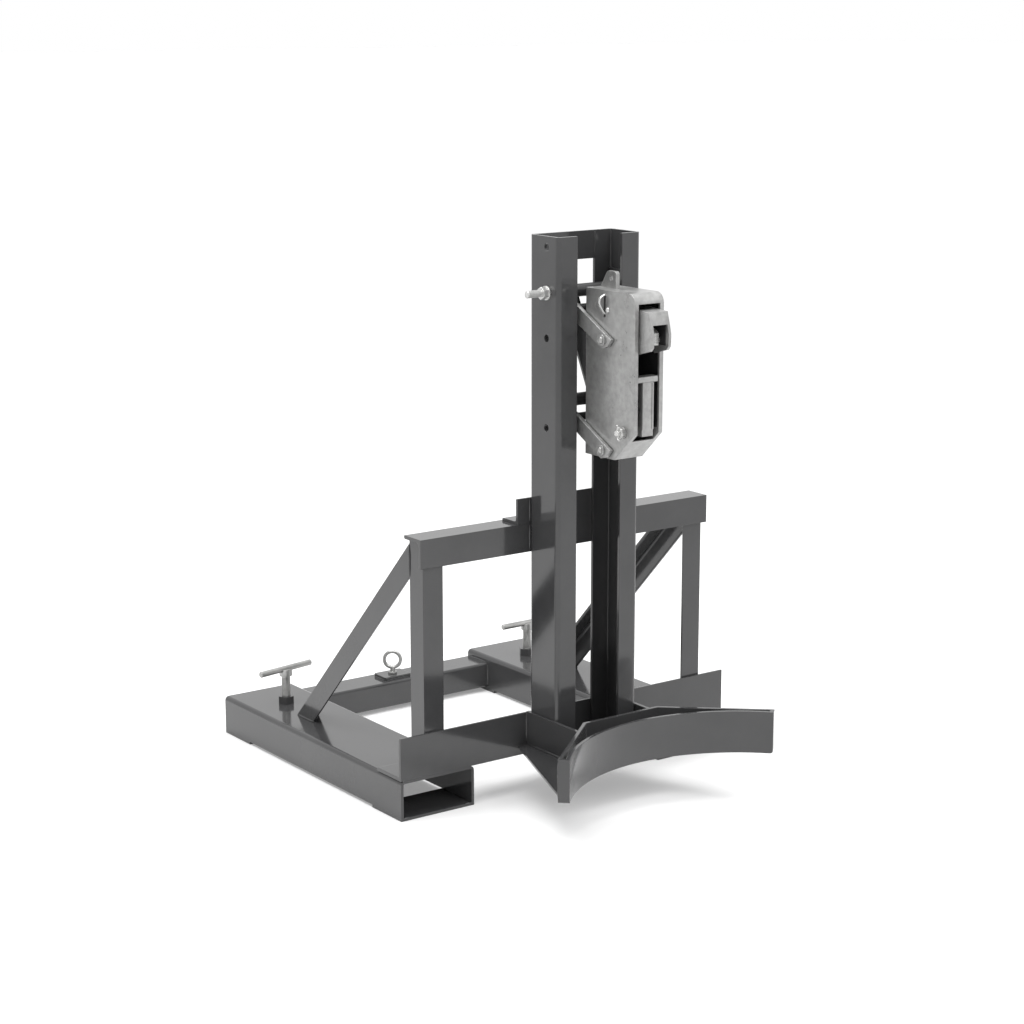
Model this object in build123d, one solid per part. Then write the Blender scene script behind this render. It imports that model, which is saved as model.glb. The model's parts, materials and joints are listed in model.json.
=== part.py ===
from build123d import *
import math
import os

# Drum lifter for fork lift tines: a welded frame with fork pockets and a mast,
# a curved saddle for the drum wall and a hinged gripping head for the drum rim.
# Millimetres, +Z up. The drum stands on the -Y side and the tines enter from +Y.
# Every piece is drawn with y = 0 on the front of the fork pockets, then all are
# moved by SHIFT_Y, which puts the origin under the middle of the whole lifter.

# Fork pockets
OVERALL_WIDTH = 710.0
POCKET_LENGTH = 610.0
POCKET_WIDTH = 150.0
POCKET_HEIGHT = 66.0
POCKET_WALL = 5.0
POCKET_BEND = 8.0
STRAP_THICKNESS = 5.0
STRAP_LENGTH = 92.0

# Bars of the frame
FRONT_BAR_LEG = 75.0
BAR_WALL = 6.0
REAR_BAR_DEPTH = 70.0
REAR_BAR_HEIGHT = 50.0
REAR_BAR_WALL = 4.0
REAR_BAR_LIFT = 8.0
UPRIGHT_LEG = 40.0
UPRIGHT_WALL = 5.0
UPRIGHT_INSET = 52.0
UPPER_BAR_LEG = 50.0
UPPER_BAR_INSET = 44.0
UPPER_BAR_TOP = 483.0
BRACE_LEG = 40.0
BRACE_WALL = 5.0
BRACE_FOOT_Y = 430.0
BRACE_HEAD_DROP = 8.0
BRACKET_LEG = 45.0
BRACKET_WALL = 5.0
BRACKET_LENGTH = 224.0

# Mast
MAST_DEPTH = 80.0
MAST_FLANGE = 40.0
MAST_WALL = 5.0
MAST_BEND = 8.0
MAST_WIDTH = 174.0
MAST_TOP = 978.0
SPACER_HEIGHT = 48.0
MAST_HOLE = 13.0
MAST_HOLE_PITCH = 76.0

# Saddle for the drum wall
DRUM_RADIUS = 296.0
SADDLE_APEX_Y = -194.0
SADDLE_HALF_CHORD = 220.0
SADDLE_TOP = 162.0
SADDLE_BOTTOM = 88.0
SADDLE_CORNER = 5.0
SADDLE_WALL = 6.0
SADDLE_BACK_Y = -145.0
SADDLE_BACK_HALF = 80.0
SADDLE_BACK_WALL = 6.0
SADDLE_TIP_WIDTH = 13.0
SADDLE_LIP = 7.0
BASE_PLATE_BOTTOM = 84.0
BASE_PLATE_THICKNESS = 4.0
BASE_PLATE_BACK_HALF = 111.0
BASE_PLATE_FRONT_HALF = 213.0
CHEEK_WALL = 6.0
CHEEK_TOP = 148.0

# Tine clamping screws
SCREW_Y = 509.0
SCREW_DIAMETER = 16.0
SCREW_CLEARANCE = 0.5
SCREW_TOP = 137.0
NUT_ACROSS_FLATS = 28.0
NUT_HEIGHT = 14.0
PAD_DIAMETER = 38.0
PAD_THICKNESS = 9.0
PAD_DROP = 1.0
PAD_SOCKET = 4.0
HANDLE_DIAMETER = 11.0
HANDLE_LENGTH = 122.0
HANDLE_YAW_LEFT = 10.0
HANDLE_YAW_RIGHT = 1.0
SCREW_HEAD_DIAMETER = 24.0
SCREW_HEAD = 13.0

# Eyebolt for the safety chain
EYE_PLATE_LENGTH = 60.0
EYE_PLATE_WIDTH = 42.0
EYE_PLATE_THICKNESS = 6.0
EYE_RADIUS = 16.0
EYE_WIRE = 7.0
EYE_NECK = 12.0
EYE_SHANK = 12.0
EYE_NUT_FLATS = 19.0
EYE_NUT_HEIGHT = 10.0
EYE_YAW = -36.0

# Carriage that hangs in the mast
BOLT_Y = -48.0
BOLT_DROP = 94.0
ARM_SPACING = 185.0
TUBE_DIAMETER = 22.0
TUBE_RISE = 29.5
CARRIAGE_DEPTH = 62.0
CARRIAGE_WALL = 8.0
CARRIAGE_END = 28.0
CARRIAGE_FOOT = 9.0
ROD_DIAMETER = 14.0
ROD_FORWARD = 4.0
TIE_WIDTH = 34.0
TIE_THICKNESS = 5.0
TIE_GAP = 0.6
TIE_TOP_X = -33.0
TIE_BOTTOM_X = 30.0
BOLT_DIAMETER = 12.0
BOLT_CLEARANCE = 0.2
BOLT_FLATS = 19.0
BOLT_HEAD = 7.5
BOLT_TAIL = 41.0
BOLT_NUT = 10.0
WASHER_DIAMETER = 24.0
WASHER_THICKNESS = 2.5

# Parallel arms
ARM_REACH = 83.0
ARM_DROP = 43.5
ARM_WIDTH = 26.0
ARM_THICKNESS = 7.0
ARM_TOE = 20.0
ARM_GAP = 1.0
WEB_START = 5.0
WEB_LENGTH = 22.0
WEB_THICKNESS = 5.0
RUNNING_CLEARANCE = 0.08
OPEN_CLEARANCE = 0.4
PIN_DIAMETER = 12.0
PIN_HEAD_DIAMETER = 20.0
PIN_HEAD = 3.0
COLLAR_DIAMETER = 20.0
COLLAR_GAP = 0.5

# Gripping head
HEAD_WIDTH = 60.0
HEAD_WALL = 5.0
HEAD_BACK_Y = -82.0
HEAD_FRONT_Y = -212.0
HEAD_RISE = 9.0
HEAD_HEIGHT = 281.0
HEAD_ROUND = 18.0
HEAD_CUT_HEIGHT = 49.0
HEAD_CUT_Y = -160.0
MOUTH_DROP = 17.0
MOUTH_HEIGHT = 228.0
MOUTH_HALF = 22.5
LUG_THICKNESS = 8.0
LUG_HEIGHT = 28.0
LUG_BACK_Y = -87.0
LUG_FRONT_Y = -128.0
SLOT_Y = -131.0
SLOT_DROP = 4.0
SLOT_HEIGHT = 41.0
SLOT_WIDTH = 6.0
CLIP_THICKNESS = 3.0
CLIP_BULGE = 12.0
CLIP_WIDTH = 4.0

# Beak over the drum rim
BEAK_PIVOT_Y = -112.0
BEAK_PIVOT_DROP = 27.0
BEAK_WIDTH = 40.0
BEAK_WALL = 5.0
BEAK_HUB = 13.0
BEAK_TIP_Y = -244.0
BEAK_NOSE_DROP = 31.0
BEAK_HEIGHT = 60.0
STOP_DIAMETER = 8.0
STOP_Y = -150.0
STOP_GAP = 0.4
TOOTH_WIDTH = 16.0
TOOTH_PIN = 10.0

# Pressure lever under the rim
LEVER_PIVOT_Y = -183.0
LEVER_PIVOT_RISE = 50.0
LEVER_HUB = 11.0
LEVER_BAR = 23.0
LEVER_DEPTH = 14.0
LEVER_FRONT_Y = -210.0
LEVER_LENGTH = 94.0
LEVER_HEAD_HEIGHT = 10.0
LEVER_HEAD_WIDTH = 43.0
LEVER_HUB_WIDTH = 38.0

# Worked out from the sizes above
POCKET_TOP = STRAP_THICKNESS + POCKET_HEIGHT
POCKET_X = (OVERALL_WIDTH - POCKET_WIDTH) / 2
POCKET_INNER_X = OVERALL_WIDTH / 2 - POCKET_WIDTH
UPRIGHT_SPAN = OVERALL_WIDTH - 2 * UPRIGHT_INSET
UPPER_BAR_LENGTH = OVERALL_WIDTH - 2 * UPPER_BAR_INSET
REAR_BAR_Y = POCKET_LENGTH - REAR_BAR_DEPTH
REAR_BAR_TOP = REAR_BAR_LIFT + REAR_BAR_HEIGHT
EYE_Y = REAR_BAR_Y + REAR_BAR_DEPTH / 2
MAST_X = MAST_WIDTH / 2
MAST_TIP_X = MAST_X - MAST_FLANGE
MAST_FOOT = BASE_PLATE_BOTTOM + BASE_PLATE_THICKNESS
ARC_Y = SADDLE_APEX_Y - DRUM_RADIUS
ARC_OUTER = DRUM_RADIUS + SADDLE_WALL
HALF_ANGLE = math.degrees(math.asin(SADDLE_HALF_CHORD / DRUM_RADIUS))
TIP_Y = ARC_Y + DRUM_RADIUS * math.cos(math.radians(HALF_ANGLE))
LIP_ANGLE = HALF_ANGLE - math.degrees(SADDLE_LIP / ARC_OUTER)
BACK_TIP_X = (ARC_OUTER + SADDLE_TIP_WIDTH) * math.sin(math.radians(LIP_ANGLE))
BACK_TIP_Y = ARC_Y + (ARC_OUTER + SADDLE_TIP_WIDTH) * math.cos(math.radians(LIP_ANGLE))
BACK_SLOPE = (SADDLE_BACK_Y - BACK_TIP_Y) / (BACK_TIP_X - SADDLE_BACK_HALF)
SHIFT_Y = -(POCKET_LENGTH + TIP_Y) / 2
BOLT_Z = MAST_TOP - BOLT_DROP
HEAD_TOP = BOLT_Z + HEAD_RISE
HEAD_BOTTOM = HEAD_TOP - HEAD_HEIGHT
HEAD_CUT_Z = HEAD_BOTTOM + HEAD_CUT_HEIGHT
MOUTH_TOP = HEAD_TOP - MOUTH_DROP
MOUTH_BOTTOM = MOUTH_TOP - MOUTH_HEIGHT
SLOT_TOP = HEAD_TOP - SLOT_DROP
SLOT_BOTTOM = SLOT_TOP - SLOT_HEIGHT
BEAK_PIVOT_Z = HEAD_TOP - BEAK_PIVOT_DROP
BEAK_NOSE_Z = HEAD_TOP - BEAK_NOSE_DROP
BEAK_LIP_Z = BEAK_NOSE_Z - BEAK_HEIGHT
LEVER_PIVOT_Z = HEAD_BOTTOM + LEVER_PIVOT_RISE
LEVER_TOP = LEVER_PIVOT_Z + LEVER_LENGTH
PIVOT_Y = BOLT_Y - ROD_FORWARD
PIVOT_Z = BOLT_Z - TUBE_RISE
ARM_Z = PIVOT_Z - ARM_DROP
ARM_Y = PIVOT_Y - ARM_REACH
LOWER_PIVOT_Z = PIVOT_Z - ARM_SPACING
LOWER_TUBE_Z = BOLT_Z - ARM_SPACING
TIE_BACK_Y = PIVOT_Y + ARM_WIDTH / 2 + TIE_GAP + TIE_THICKNESS
ARM_INNER_X = HEAD_WIDTH / 2 + ARM_GAP
ARM_OUTER_X = ARM_INNER_X + ARM_THICKNESS
CARRIAGE_X = MAST_X - MAST_WALL
ROD_HALF = CARRIAGE_X - CARRIAGE_WALL
PAD_TOP = POCKET_TOP - POCKET_WALL - PAD_DROP
LEFT = -1
RIGHT = 1


def block(x0, x1, y0, y1, z0, z1):
    """Box between two corners."""
    size = Box(x1 - x0, y1 - y0, z1 - z0)
    return Pos((x0 + x1) / 2, (y0 + y1) / 2, (z0 + z1) / 2) * size


def rod_z(x, y, z0, z1, diameter):
    """Upright round bar."""
    return Pos(x, y, (z0 + z1) / 2) * Cylinder(diameter / 2, z1 - z0)


def rod_x(x0, x1, y, z, diameter):
    """Round bar along X."""
    return Pos((x0 + x1) / 2, y, z) * Rot(0, 90, 0) * Cylinder(diameter / 2, x1 - x0)


def hex_z(x, y, z0, height, flats, bore):
    """Hexagon nut on an upright axis, with its corners turned off."""
    corner = flats / math.sqrt(3)
    body = extrude(RegularPolygon(corner, 6), amount=height)
    body = body & Cylinder(corner * 0.985, height * 3)
    hole = Cylinder(bore / 2, height * 3)
    return Pos(x, y, z0) * (body - hole)


def hex_x(x0, y, z, height, flats, bore):
    """Hexagon nut or bolt head on an axis along X."""
    return Pos(x0, y, z) * Rot(0, 90, 0) * hex_z(0, 0, 0, height, flats, bore)


def angle_face(leg_u, leg_v, wall):
    """Rolled angle section with its corner at the origin and rounded toes."""
    outline = Polyline((0, 0), (leg_u, 0), (leg_u, wall), (wall, wall), (wall, leg_v), (0, leg_v), close=True)
    face = make_face(outline)
    inner = face.vertices().sort_by_distance((wall, wall, 0))[0]
    face = fillet(inner, wall * 0.9)
    toes = [v for v in face.vertices() if abs(v.X - leg_u) < 0.01 and abs(v.Y - wall) < 0.01
            or abs(v.Y - leg_v) < 0.01 and abs(v.X - wall) < 0.01]
    return fillet(toes, wall * 0.45)


def angle_bar(origin, along_u, direction, leg_u, leg_v, wall, length):
    """Angle bar whose section starts at origin and runs in direction."""
    plane = Plane(origin=origin, x_dir=along_u, z_dir=direction)
    return extrude(plane * angle_face(leg_u, leg_v, wall), amount=length)


def side_plate(points, x0, x1, rounding=0.0):
    """Flat plate in the YZ plane, between x0 and x1, from (y, z) points."""
    face = make_face(Polyline(*points, close=True))
    if rounding > 0:
        face = fillet(face.vertices(), rounding)
    plane = Plane(origin=(x0, 0, 0), x_dir=(0, 1, 0), z_dir=(1, 0, 0))
    return extrude(plane * face, amount=x1 - x0)


def mirrored(part, side):
    """The piece as drawn on the left, or its mirror image on the right."""
    return part if side == LEFT else mirror(part, about=Plane.YZ)


def fork_pocket(side):
    """Inverted channel folded from sheet, open underneath between the straps."""
    half = POCKET_WIDTH / 2
    outer = Pos(0, POCKET_HEIGHT / 2) * Rectangle(POCKET_WIDTH, POCKET_HEIGHT)
    outer = fillet(outer.vertices().group_by(Axis.Y)[-1], POCKET_BEND)
    inner_height = POCKET_HEIGHT - POCKET_WALL
    inner = Pos(0, inner_height / 2) * Rectangle(POCKET_WIDTH - 2 * POCKET_WALL, inner_height)
    inner = fillet(inner.vertices().group_by(Axis.Y)[-1], POCKET_BEND - POCKET_WALL)
    plane = Plane(origin=(-POCKET_X, 0, STRAP_THICKNESS), x_dir=(1, 0, 0), z_dir=(0, -1, 0))
    pocket = extrude(plane * (outer - inner), amount=-POCKET_LENGTH)
    bore = SCREW_DIAMETER + 2 * SCREW_CLEARANCE
    pocket -= rod_z(-POCKET_X, SCREW_Y, POCKET_TOP - half, POCKET_TOP + half, bore)
    return mirrored(pocket, side)


def pocket_strap(side, y0):
    """Flat strap that ties the two walls of a pocket together and stands on the floor."""
    x1 = -POCKET_INNER_X
    return mirrored(block(x1 - POCKET_WIDTH, x1, y0, y0 + STRAP_LENGTH, 0, STRAP_THICKNESS), side)


def front_crossbar():
    """Angle across the fronts of the pockets, its flat leg lying on them."""
    return angle_bar((-OVERALL_WIDTH / 2, 0, POCKET_TOP), (0, 1, 0), (1, 0, 0),
                     FRONT_BAR_LEG, FRONT_BAR_LEG, BAR_WALL, OVERALL_WIDTH)


def rear_crossbar():
    """Box section between the pockets at their rear end."""
    half = POCKET_INNER_X
    outer = block(-half, half, REAR_BAR_Y, POCKET_LENGTH, REAR_BAR_LIFT, REAR_BAR_TOP)
    outer = fillet(outer.edges().filter_by(Axis.X), REAR_BAR_WALL * 1.2)
    wall = REAR_BAR_WALL
    inner = block(-half, half, REAR_BAR_Y + wall, POCKET_LENGTH - wall, REAR_BAR_LIFT + wall, REAR_BAR_TOP - wall)
    tube = outer - inner
    return tube - rod_z(0, EYE_Y, REAR_BAR_TOP - 3 * wall, REAR_BAR_TOP + wall, EYE_SHANK + 2 * BOLT_CLEARANCE)


def upright(side):
    """Angle post between the front crossbar and the upper crossbar."""
    foot = POCKET_TOP + BAR_WALL
    post = angle_bar((-UPRIGHT_SPAN / 2, BAR_WALL, foot), (1, 0, 0), (0, 0, 1),
                     UPRIGHT_LEG, UPRIGHT_LEG, UPRIGHT_WALL, UPPER_BAR_TOP - BAR_WALL - foot)
    return mirrored(post, side) - front_crossbar() - upper_crossbar()


def upper_crossbar():
    """Angle over the uprights and behind the mast, flat leg on top."""
    return angle_bar((UPPER_BAR_LENGTH / 2, 0, UPPER_BAR_TOP), (0, 1, 0), (-1, 0, 0),
                     UPPER_BAR_LEG, UPPER_BAR_LEG, BAR_WALL, UPPER_BAR_LENGTH)


def brace(side):
    """Angle stay from the pocket top up to the back of the upright."""
    post_back = BAR_WALL + UPRIGHT_LEG
    head_z = UPPER_BAR_TOP - BAR_WALL - BRACE_HEAD_DROP
    run = BRACE_FOOT_Y - post_back
    rise = head_z - POCKET_TOP
    length = math.hypot(run, rise)
    down = (0, run / length, -rise / length)
    over = UPRIGHT_LEG + BRACE_LEG
    start = (-UPRIGHT_SPAN / 2, post_back - down[1] * over, head_z - down[2] * over)
    stay = Plane(origin=start, x_dir=(1, 0, 0), z_dir=down) * angle_face(BRACE_LEG, BRACE_LEG, BRACE_WALL)
    stay = extrude(stay, amount=length + 2 * over)
    reach = POCKET_LENGTH
    room = block(-OVERALL_WIDTH, OVERALL_WIDTH, post_back, reach, POCKET_TOP, UPPER_BAR_TOP - BAR_WALL)
    return mirrored(stay & room, side)


def mast_section():
    """Cold formed channel, web on the outside, drawn for the left side."""
    outer = Rectangle(MAST_FLANGE, MAST_DEPTH, align=(Align.MIN, Align.MAX))
    outer = fillet(outer.vertices().group_by(Axis.X)[0], MAST_BEND)
    inner = Rectangle(MAST_FLANGE, MAST_DEPTH - 2 * MAST_WALL, align=(Align.MIN, Align.MAX))
    inner = fillet(inner.vertices().group_by(Axis.X)[0], MAST_BEND - MAST_WALL)
    inner = Pos(MAST_WALL, -MAST_WALL) * inner
    return Pos(-MAST_X, 0) * (outer - inner)


def mast_channel(side):
    """One of the two mast channels, with its row of height holes."""
    channel = extrude(Pos(0, 0, MAST_FOOT) * mast_section(), amount=MAST_TOP - MAST_FOOT)
    for step in (1, 0, -1, -3):
        z = BOLT_Z + step * MAST_HOLE_PITCH
        channel -= rod_x(-MAST_X - MAST_WALL, -MAST_X + 2 * MAST_WALL, BOLT_Y, z, MAST_HOLE)
    return mirrored(channel, side)


def mast_spacer():
    """Plate that ties the rear flanges together at the top."""
    return block(-MAST_TIP_X, MAST_TIP_X, -MAST_WALL, 0, MAST_TOP - SPACER_HEIGHT, MAST_TOP)


def mast_bracket():
    """Angle behind the mast, standing on the upper crossbar."""
    return angle_bar((-BRACKET_LENGTH / 2, 0, UPPER_BAR_TOP), (0, 1, 0), (1, 0, 0),
                     BRACKET_LEG, BRACKET_LEG, BRACKET_WALL, BRACKET_LENGTH)


def saddle_wedge(angle):
    """Sector over the saddle seen from above, to an angle on each side of its middle."""
    far = ARC_OUTER * 2
    spread = math.radians(angle)
    return make_face(Polyline((0, 0), (far * math.sin(spread), far * math.cos(spread)),
                              (-far * math.sin(spread), far * math.cos(spread)), close=True))


def saddle_band():
    """Rolled plate that the drum wall lies against, with its ends folded back."""
    ring = (Circle(ARC_OUTER) - Circle(DRUM_RADIUS)) & saddle_wedge(HALF_ANGLE)
    lips = (Circle(ARC_OUTER + SADDLE_TIP_WIDTH) - Circle(DRUM_RADIUS)) & saddle_wedge(HALF_ANGLE)
    lips -= saddle_wedge(LIP_ANGLE)
    height = SADDLE_TOP - SADDLE_BOTTOM
    band = extrude(Pos(0, ARC_Y, SADDLE_BOTTOM) * (ring + lips), amount=height)
    end = SADDLE_WALL + SADDLE_TIP_WIDTH
    corners = [e for e in band.edges() if abs(e.length - end) < 0.5 and abs(e.center().Z - SADDLE_BOTTOM) < 0.1]
    return fillet(corners, min(SADDLE_CORNER, SADDLE_LIP * 0.7))


def drum_side():
    """Upright cylinder that fills the saddle, used to cut plates to its curve."""
    return Pos(0, ARC_Y, SADDLE_TOP / 2) * Cylinder(ARC_OUTER, SADDLE_TOP * 3)


def back_line(x):
    """Height y of the back plate's rear face at a place beside the mast."""
    return SADDLE_BACK_Y - BACK_SLOPE * (x - SADDLE_BACK_HALF)


def saddle_back():
    """Bent plate that stiffens the band: straight behind the mast, slanting to the tips."""
    slant = math.hypot(1, BACK_SLOPE)
    drop = SADDLE_BACK_WALL * slant
    inner_half = SADDLE_BACK_HALF - SADDLE_BACK_WALL * (slant - 1) / BACK_SLOPE
    far = BACK_TIP_X + 2 * SADDLE_BACK_WALL
    inner_y = SADDLE_BACK_Y - SADDLE_BACK_WALL
    outline = Polyline((-far, back_line(far)), (-SADDLE_BACK_HALF, SADDLE_BACK_Y),
                       (SADDLE_BACK_HALF, SADDLE_BACK_Y), (far, back_line(far)), (far, back_line(far) - drop),
                       (inner_half, inner_y), (-inner_half, inner_y), (-far, back_line(far) - drop), close=True)
    outline = make_face(outline) & Pos(0, ARC_Y) * saddle_wedge(LIP_ANGLE)
    plate = extrude(Pos(0, 0, MAST_FOOT) * outline, amount=SADDLE_TOP - MAST_FOOT)
    return plate - drum_side()


def saddle_base():
    """Floor plate from the front crossbar out to the saddle's back plate, under the mast."""
    x = BASE_PLATE_FRONT_HALF
    y = back_line(x)
    inner_y = SADDLE_BACK_Y - SADDLE_BACK_WALL
    outline = Polyline((-BASE_PLATE_BACK_HALF, 0), (BASE_PLATE_BACK_HALF, 0), (x, y), (x - SADDLE_BACK_WALL, y),
                       (SADDLE_BACK_HALF, inner_y), (-SADDLE_BACK_HALF, inner_y), (-x + SADDLE_BACK_WALL, y),
                       (-x, y), close=True)
    return extrude(Pos(0, 0, BASE_PLATE_BOTTOM) * make_face(outline), amount=BASE_PLATE_THICKNESS)


def cheek_plate(side):
    """Upright plate beside the mast foot, from the crossbar to the saddle's back plate."""
    x0 = MAST_X
    x1 = MAST_X + CHEEK_WALL
    outline = Polyline((-x1, 0), (-x0, 0), (-x0, back_line(x0)), (-x1, back_line(x1)), close=True)
    plate = extrude(Pos(0, 0, MAST_FOOT) * make_face(outline), amount=CHEEK_TOP - MAST_FOOT)
    return mirrored(plate, side)


def weld_nuts():
    """Hexagon nuts welded on the pockets, which the clamping screws turn in."""
    bore = SCREW_DIAMETER + 2 * RUNNING_CLEARANCE
    nuts = []
    for x in (-POCKET_X, POCKET_X):
        nuts.append(hex_z(x, SCREW_Y, POCKET_TOP, NUT_HEIGHT, NUT_ACROSS_FLATS, bore))
    return Compound(children=[n.solid() for n in nuts])


def screw_spindle(side):
    """Screw that ends in the pad and has a head grooved for its handle."""
    seat = PAD_TOP - PAD_SOCKET
    spindle = rod_z(-POCKET_X, SCREW_Y, seat, SCREW_TOP, SCREW_DIAMETER)
    spindle += rod_z(-POCKET_X, SCREW_Y, SCREW_TOP - SCREW_HEAD, SCREW_TOP, SCREW_HEAD_DIAMETER)
    spindle = mirrored(spindle, side)
    yaw = HANDLE_YAW_LEFT if side == LEFT else HANDLE_YAW_RIGHT
    hole = Rot(0, 0, yaw) * Rot(0, 90, 0) * Cylinder(HANDLE_DIAMETER / 2, SCREW_HEAD_DIAMETER * 2)
    return spindle - Pos(side * POCKET_X, SCREW_Y, SCREW_TOP) * hole


def screw_handle(side):
    """Tommy bar on the head of the screw, with its ends turned off."""
    yaw = HANDLE_YAW_LEFT if side == LEFT else HANDLE_YAW_RIGHT
    bar = Cylinder(HANDLE_DIAMETER / 2, HANDLE_LENGTH)
    bar = chamfer(bar.edges().filter_by(GeomType.CIRCLE), HANDLE_DIAMETER * 0.12)
    return Pos(side * POCKET_X, SCREW_Y, SCREW_TOP) * Rot(0, 0, yaw) * Rot(0, 90, 0) * bar


def screw_pad(side):
    """Pressure pad that bears on the tine, with a socket for the end of the screw."""
    pad = rod_z(-POCKET_X, SCREW_Y, PAD_TOP - PAD_THICKNESS, PAD_TOP, PAD_DIAMETER)
    bore = SCREW_DIAMETER + 2 * RUNNING_CLEARANCE
    pad -= rod_z(-POCKET_X, SCREW_Y, PAD_TOP - PAD_SOCKET, PAD_TOP + PAD_SOCKET, bore)
    return mirrored(pad, side)


def eye_plate():
    """Doubler plate under the eyebolt."""
    x = EYE_PLATE_LENGTH / 2
    y = EYE_PLATE_WIDTH / 2
    plate = block(-x, x, EYE_Y - y, EYE_Y + y, REAR_BAR_TOP, REAR_BAR_TOP + EYE_PLATE_THICKNESS)
    plate = fillet(plate.edges().filter_by(Axis.Z), EYE_PLATE_THICKNESS / 2)
    return plate - rod_z(0, EYE_Y, REAR_BAR_TOP - 1, REAR_BAR_TOP + EYE_PLATE_WIDTH, EYE_SHANK + 2 * BOLT_CLEARANCE)


def eyebolt():
    """Ring, collar and shank of the eyebolt in one forging."""
    top = REAR_BAR_TOP + EYE_PLATE_THICKNESS
    centre = top + EYE_NECK + EYE_RADIUS
    section = Plane.XZ * Pos(EYE_RADIUS, 0) * Rot(0, 0, 22.5) * RegularPolygon(EYE_WIRE / 2, 8)
    ring = Rot(0, 0, EYE_YAW) * Rot(90, 0, 0) * revolve(section, Axis.Z)
    collar = rod_z(0, 0, top, top + EYE_NECK / 3, EYE_SHANK * 1.5)
    neck = rod_z(0, 0, top, top + EYE_NECK + EYE_WIRE * 0.3, EYE_SHANK * 0.8)
    shank = rod_z(0, 0, REAR_BAR_TOP - REAR_BAR_WALL - EYE_NUT_HEIGHT - 3, top, EYE_SHANK)
    return Pos(0, EYE_Y, 0) * (Pos(0, 0, centre) * ring + collar + neck + shank)


def eye_nut():
    """Nut of the eyebolt, inside the rear crossbar."""
    z = REAR_BAR_TOP - REAR_BAR_WALL - EYE_NUT_HEIGHT
    return hex_z(0, EYE_Y, z, EYE_NUT_HEIGHT, EYE_NUT_FLATS, EYE_SHANK)


def carriage_side(side):
    """Flat bar of the carriage, held against the inside of the mast web."""
    centre = -MAST_DEPTH / 2
    y0 = centre - CARRIAGE_DEPTH / 2
    y1 = centre + CARRIAGE_DEPTH / 2
    bar = block(-CARRIAGE_X, -ROD_HALF, y0, y1, LOWER_PIVOT_Z - CARRIAGE_FOOT, BOLT_Z + CARRIAGE_END)
    hole = BOLT_DIAMETER + 2 * BOLT_CLEARANCE
    return mirrored(bar - rod_x(-MAST_X, 0, BOLT_Y, BOLT_Z, hole), side)


def upper_tube():
    """Tube between the carriage sides that the height bolt runs in."""
    sleeve = rod_x(-ROD_HALF, ROD_HALF, BOLT_Y, BOLT_Z, TUBE_DIAMETER)
    return sleeve - rod_x(-MAST_X, MAST_X, BOLT_Y, BOLT_Z, BOLT_DIAMETER + 2 * BOLT_CLEARANCE)


def lower_tube():
    """Second tube between the carriage sides, above the lower arms."""
    sleeve = rod_x(-ROD_HALF, ROD_HALF, BOLT_Y, LOWER_TUBE_Z, TUBE_DIAMETER)
    return sleeve - rod_x(-MAST_X, MAST_X, BOLT_Y, LOWER_TUBE_Z, BOLT_DIAMETER)


def pivot_rods():
    """Round bars between the carriage sides that the two pairs of arms turn on."""
    upper = rod_x(-ROD_HALF, ROD_HALF, PIVOT_Y, PIVOT_Z, ROD_DIAMETER)
    lower = rod_x(-ROD_HALF, ROD_HALF, PIVOT_Y, LOWER_PIVOT_Z, ROD_DIAMETER)
    return Compound(children=[upper.solid(), lower.solid()])


def carriage_tie():
    """Slanting flat bar from the upper to the lower tube."""
    half = TIE_WIDTH / 2
    face = make_face(Polyline((TIE_TOP_X - half, BOLT_Z), (TIE_TOP_X + half, BOLT_Z),
                              (TIE_BOTTOM_X + half, LOWER_TUBE_Z), (TIE_BOTTOM_X - half, LOWER_TUBE_Z),
                              close=True))
    plane = Plane(origin=(0, TIE_BACK_Y, 0), x_dir=(1, 0, 0), z_dir=(0, -1, 0))
    tie = extrude(plane * face, amount=TIE_THICKNESS)
    for z in (BOLT_Z, LOWER_TUBE_Z):
        tie -= rod_x(-ROD_HALF, ROD_HALF, BOLT_Y, z, TUBE_DIAMETER)
    return tie


def pivot_collars():
    """Spacer sleeves on the two rods, which keep the arms from sliding outwards."""
    rings = []
    for z in (PIVOT_Z, LOWER_PIVOT_Z):
        for side in (LEFT, RIGHT):
            ring = rod_x(-ROD_HALF + COLLAR_GAP, -ARM_OUTER_X - COLLAR_GAP, PIVOT_Y, z, COLLAR_DIAMETER)
            ring -= rod_x(-ROD_HALF, 0, PIVOT_Y, z, ROD_DIAMETER)
            rings.append(mirrored(ring, side))
    return Compound(children=[r.solid() for r in rings])


def height_bolt():
    """Long hexagon bolt through both webs and the upper tube."""
    right = MAST_X + WASHER_THICKNESS
    shank = rod_x(-MAST_X - BOLT_TAIL, right, BOLT_Y, BOLT_Z, BOLT_DIAMETER)
    shank = chamfer(shank.edges().group_by(Axis.X)[0], 1.2)
    head = hex_x(right, BOLT_Y, BOLT_Z, BOLT_HEAD, BOLT_FLATS, BOLT_DIAMETER * 0.5)
    core = rod_x(right, right + BOLT_HEAD, BOLT_Y, BOLT_Z, BOLT_DIAMETER)
    return shank + head + core


def bolt_washers():
    """Washers under the head and the nut of the height bolt."""
    rings = []
    for side in (LEFT, RIGHT):
        ring = rod_x(-MAST_X - WASHER_THICKNESS, -MAST_X, BOLT_Y, BOLT_Z, WASHER_DIAMETER)
        ring -= rod_x(-MAST_X * 2, 0, BOLT_Y, BOLT_Z, BOLT_DIAMETER + 2 * BOLT_CLEARANCE)
        rings.append(mirrored(ring, side))
    return Compound(children=[r.solid() for r in rings])


def bolt_nut():
    """Nut of the height bolt, on the left of the mast."""
    return hex_x(-MAST_X - WASHER_THICKNESS - BOLT_NUT, BOLT_Y, BOLT_Z, BOLT_NUT, BOLT_FLATS, BOLT_DIAMETER)


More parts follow.
